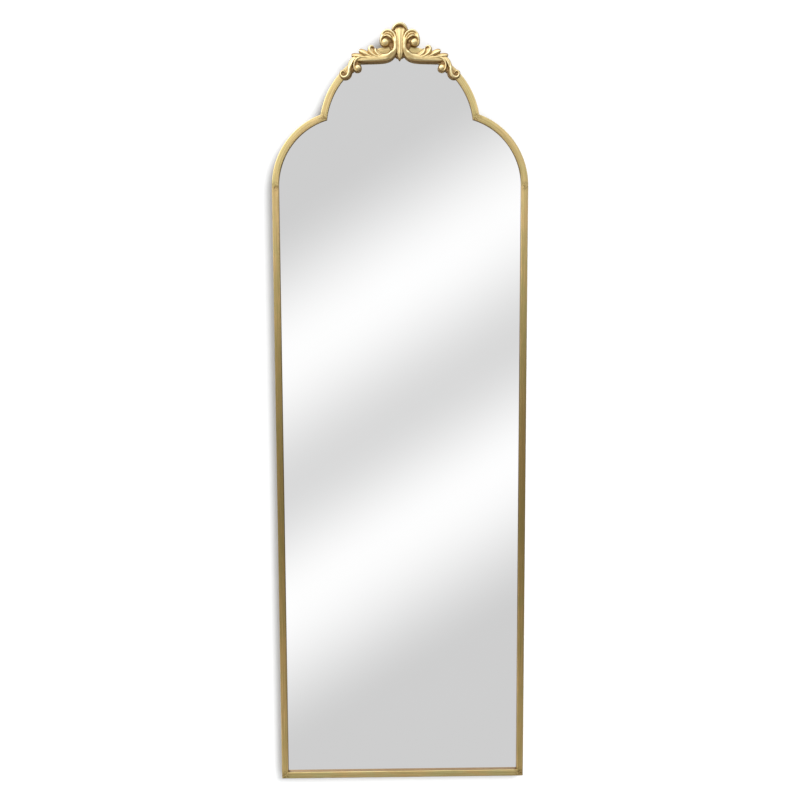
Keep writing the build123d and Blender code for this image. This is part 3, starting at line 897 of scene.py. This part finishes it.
# How bright that is, from the left (0) to the right (1)
SIDEWAYS = ((0.0, 1.0), (0.3, 0.72), (0.45, 0.50), (0.575, 0.48), (0.7, 0.42), (1.0, 0.30))
STUDIO_LEVEL = 4.0
AMBIENT = (0.37, 0.38, 0.395)
WHITE = (1.0, 1.0, 1.0)
# How a band's slope weighs across against up
SLOPE_ACROSS, SLOPE_UP = 0.536, 0.844


def build_world():
    """White to the camera; a soft grey studio to the mirror and the metal."""
    world = bpy.data.worlds.new("studio")
    scene.world = world
    t = Tree(world)
    ray = t.node("ShaderNodeLightPath")
    way = t.node("ShaderNodeSeparateXYZ", {0: t.node("ShaderNodeTexCoord").outputs["Generated"]})
    x, y, z = way.outputs
    # What a flat mirror shows: bright diagonal bands, two of them in the photograph's view
    depth = t.math("MAXIMUM", t.math("ABSOLUTE", y), 0.05)
    across = t.math("MULTIPLY", t.math("DIVIDE", x, depth), SLOPE_ACROSS)
    slope = t.math("SUBTRACT", across, t.math("MULTIPLY", t.math("DIVIDE", z, depth), SLOPE_UP))
    first, last = BANDS[0][0], BANDS[-1][0]
    stops = [((at - first) / (last - first), tone) for at, tone in BANDS]
    bands = t.ramp(t.spread(slope, first, last), stops, "EASE")
    wall = t.ramp(t.spread(z, -1, 1), STUDIO)
    sideways = t.ramp(t.spread(x, -1, 1), SIDEWAYS)
    level = t.mix(1.0, sideways.outputs[0], (STUDIO_LEVEL,) * 3, "MULTIPLY")
    studio = t.mix(1.0, wall.outputs[0], level, "MULTIPLY")
    # It is dimmer behind the object, where edges seen aslant look
    studio = t.mix(t.spread(y, -0.2, 0.3, 0.0, 0.32), studio, (0, 0, 0))
    light = t.mix(ray.outputs["Is Glossy Ray"], AMBIENT, studio)
    # Light that a white surface gathers off the metal, and what the metal sees in the mirror, stay plain
    light = t.mix(t.spread(ray.outputs["Diffuse Depth"], 0.4, 0.6), light, AMBIENT)
    # The world counts one mirror bounce as depth 2
    seen_first = t.math("LESS_THAN", ray.outputs["Ray Depth"], 2.5)
    light = t.mix(t.math("MULTIPLY", ray.outputs["Is Singular Ray"], seen_first), light, bands.outputs[0])
    light = t.mix(ray.outputs["Is Transmission Ray"], light, WHITE)
    light = t.mix(ray.outputs["Is Camera Ray"], light, WHITE)
    t.node("ShaderNodeOutputWorld", {0: t.node("ShaderNodeBackground", {"Color": light})})


def stage_plane(name, verts, paint):
    """One flat piece of the stage, and the tree of its paint."""
    data = bpy.data.meshes.new(name)
    data.from_pydata(verts, [], [(0, 1, 2, 3)])
    plane = bpy.data.objects.new(name, data)
    scene.collection.objects.link(plane)
    made = bpy.data.materials.new(paint)
    data.materials.append(made)
    return plane, Tree(made)


def lit_paint(t, colour, strength):
    """A diffuse colour with a little light of its own."""
    lit = t.node("ShaderNodeBsdfDiffuse", {"Color": (*colour, 1)})
    glow = t.node("ShaderNodeEmission", {"Color": (*WHITE, 1), "Strength": strength})
    return t.node("ShaderNodeAddShader", {0: lit, 1: glow})


def build_stage():
    """A white wall that only the camera sees, and only from its front, and a pale floor."""
    reach = STAGE_HALF
    corners = ((-reach, FLOOR_Z), (reach, FLOOR_Z), (reach, WALL_TOP), (-reach, WALL_TOP))
    wall, t = stage_plane("studio_wall", [(x, WALL_Y, z) for x, z in corners], "wall_paint")
    front = lit_paint(t, *WALL_PAINT)
    behind = t.node("ShaderNodeBsdfTransparent")
    side = t.node("ShaderNodeNewGeometry").outputs["Backfacing"]
    t.node("ShaderNodeOutputMaterial", {"Surface": t.node("ShaderNodeMixShader", {0: side, 1: front, 2: behind})})
    wall.visible_diffuse = False
    wall.visible_glossy = False
    wall.visible_transmission = False
    wall.visible_shadow = False

    corners = ((-reach, -reach), (reach, -reach), (reach, reach), (-reach, reach))
    floor, t = stage_plane("studio_floor", [(x, y, FLOOR_Z) for x, y in corners], "floor_paint")
    t.node("ShaderNodeOutputMaterial", {"Surface": lit_paint(t, *FLOOR_PAINT)})
    floor.visible_glossy = False


def add_sun(name, towards, strength, angle):
    """A soft lamp that lights the wall, the floor and the board, and leaves no spot in the metal."""
    lamp = bpy.data.lights.new(name, "SUN")
    lamp.energy = strength
    lamp.angle = radians(angle)
    held = bpy.data.objects.new(name, lamp)
    held.rotation_euler = Vector(towards).to_track_quat("-Z", "Y").to_euler()
    held.visible_glossy = False
    scene.collection.objects.link(held)


def add_camera():
    """The photograph's view."""
    right, up = Vector(CAMERA_RIGHT), Vector(CAMERA_UP)
    forward = right.cross(up).normalized() * -1
    lens = bpy.data.cameras.new("camera")
    lens.lens = LENS
    lens.sensor_width = SENSOR
    lens.sensor_fit = "HORIZONTAL"
    camera = bpy.data.objects.new("camera", lens)
    turn = Matrix((right, up, -forward)).transposed().to_4x4()
    camera.matrix_world = Matrix.Translation(CAMERA_AT) @ turn
    scene.collection.objects.link(camera)
    scene.camera = camera


build_world()
build_stage()
add_sun("key", KEY_TOWARDS, KEY_STRENGTH, KEY_ANGLE)
add_camera()
scene.view_settings.view_transform = "Standard"
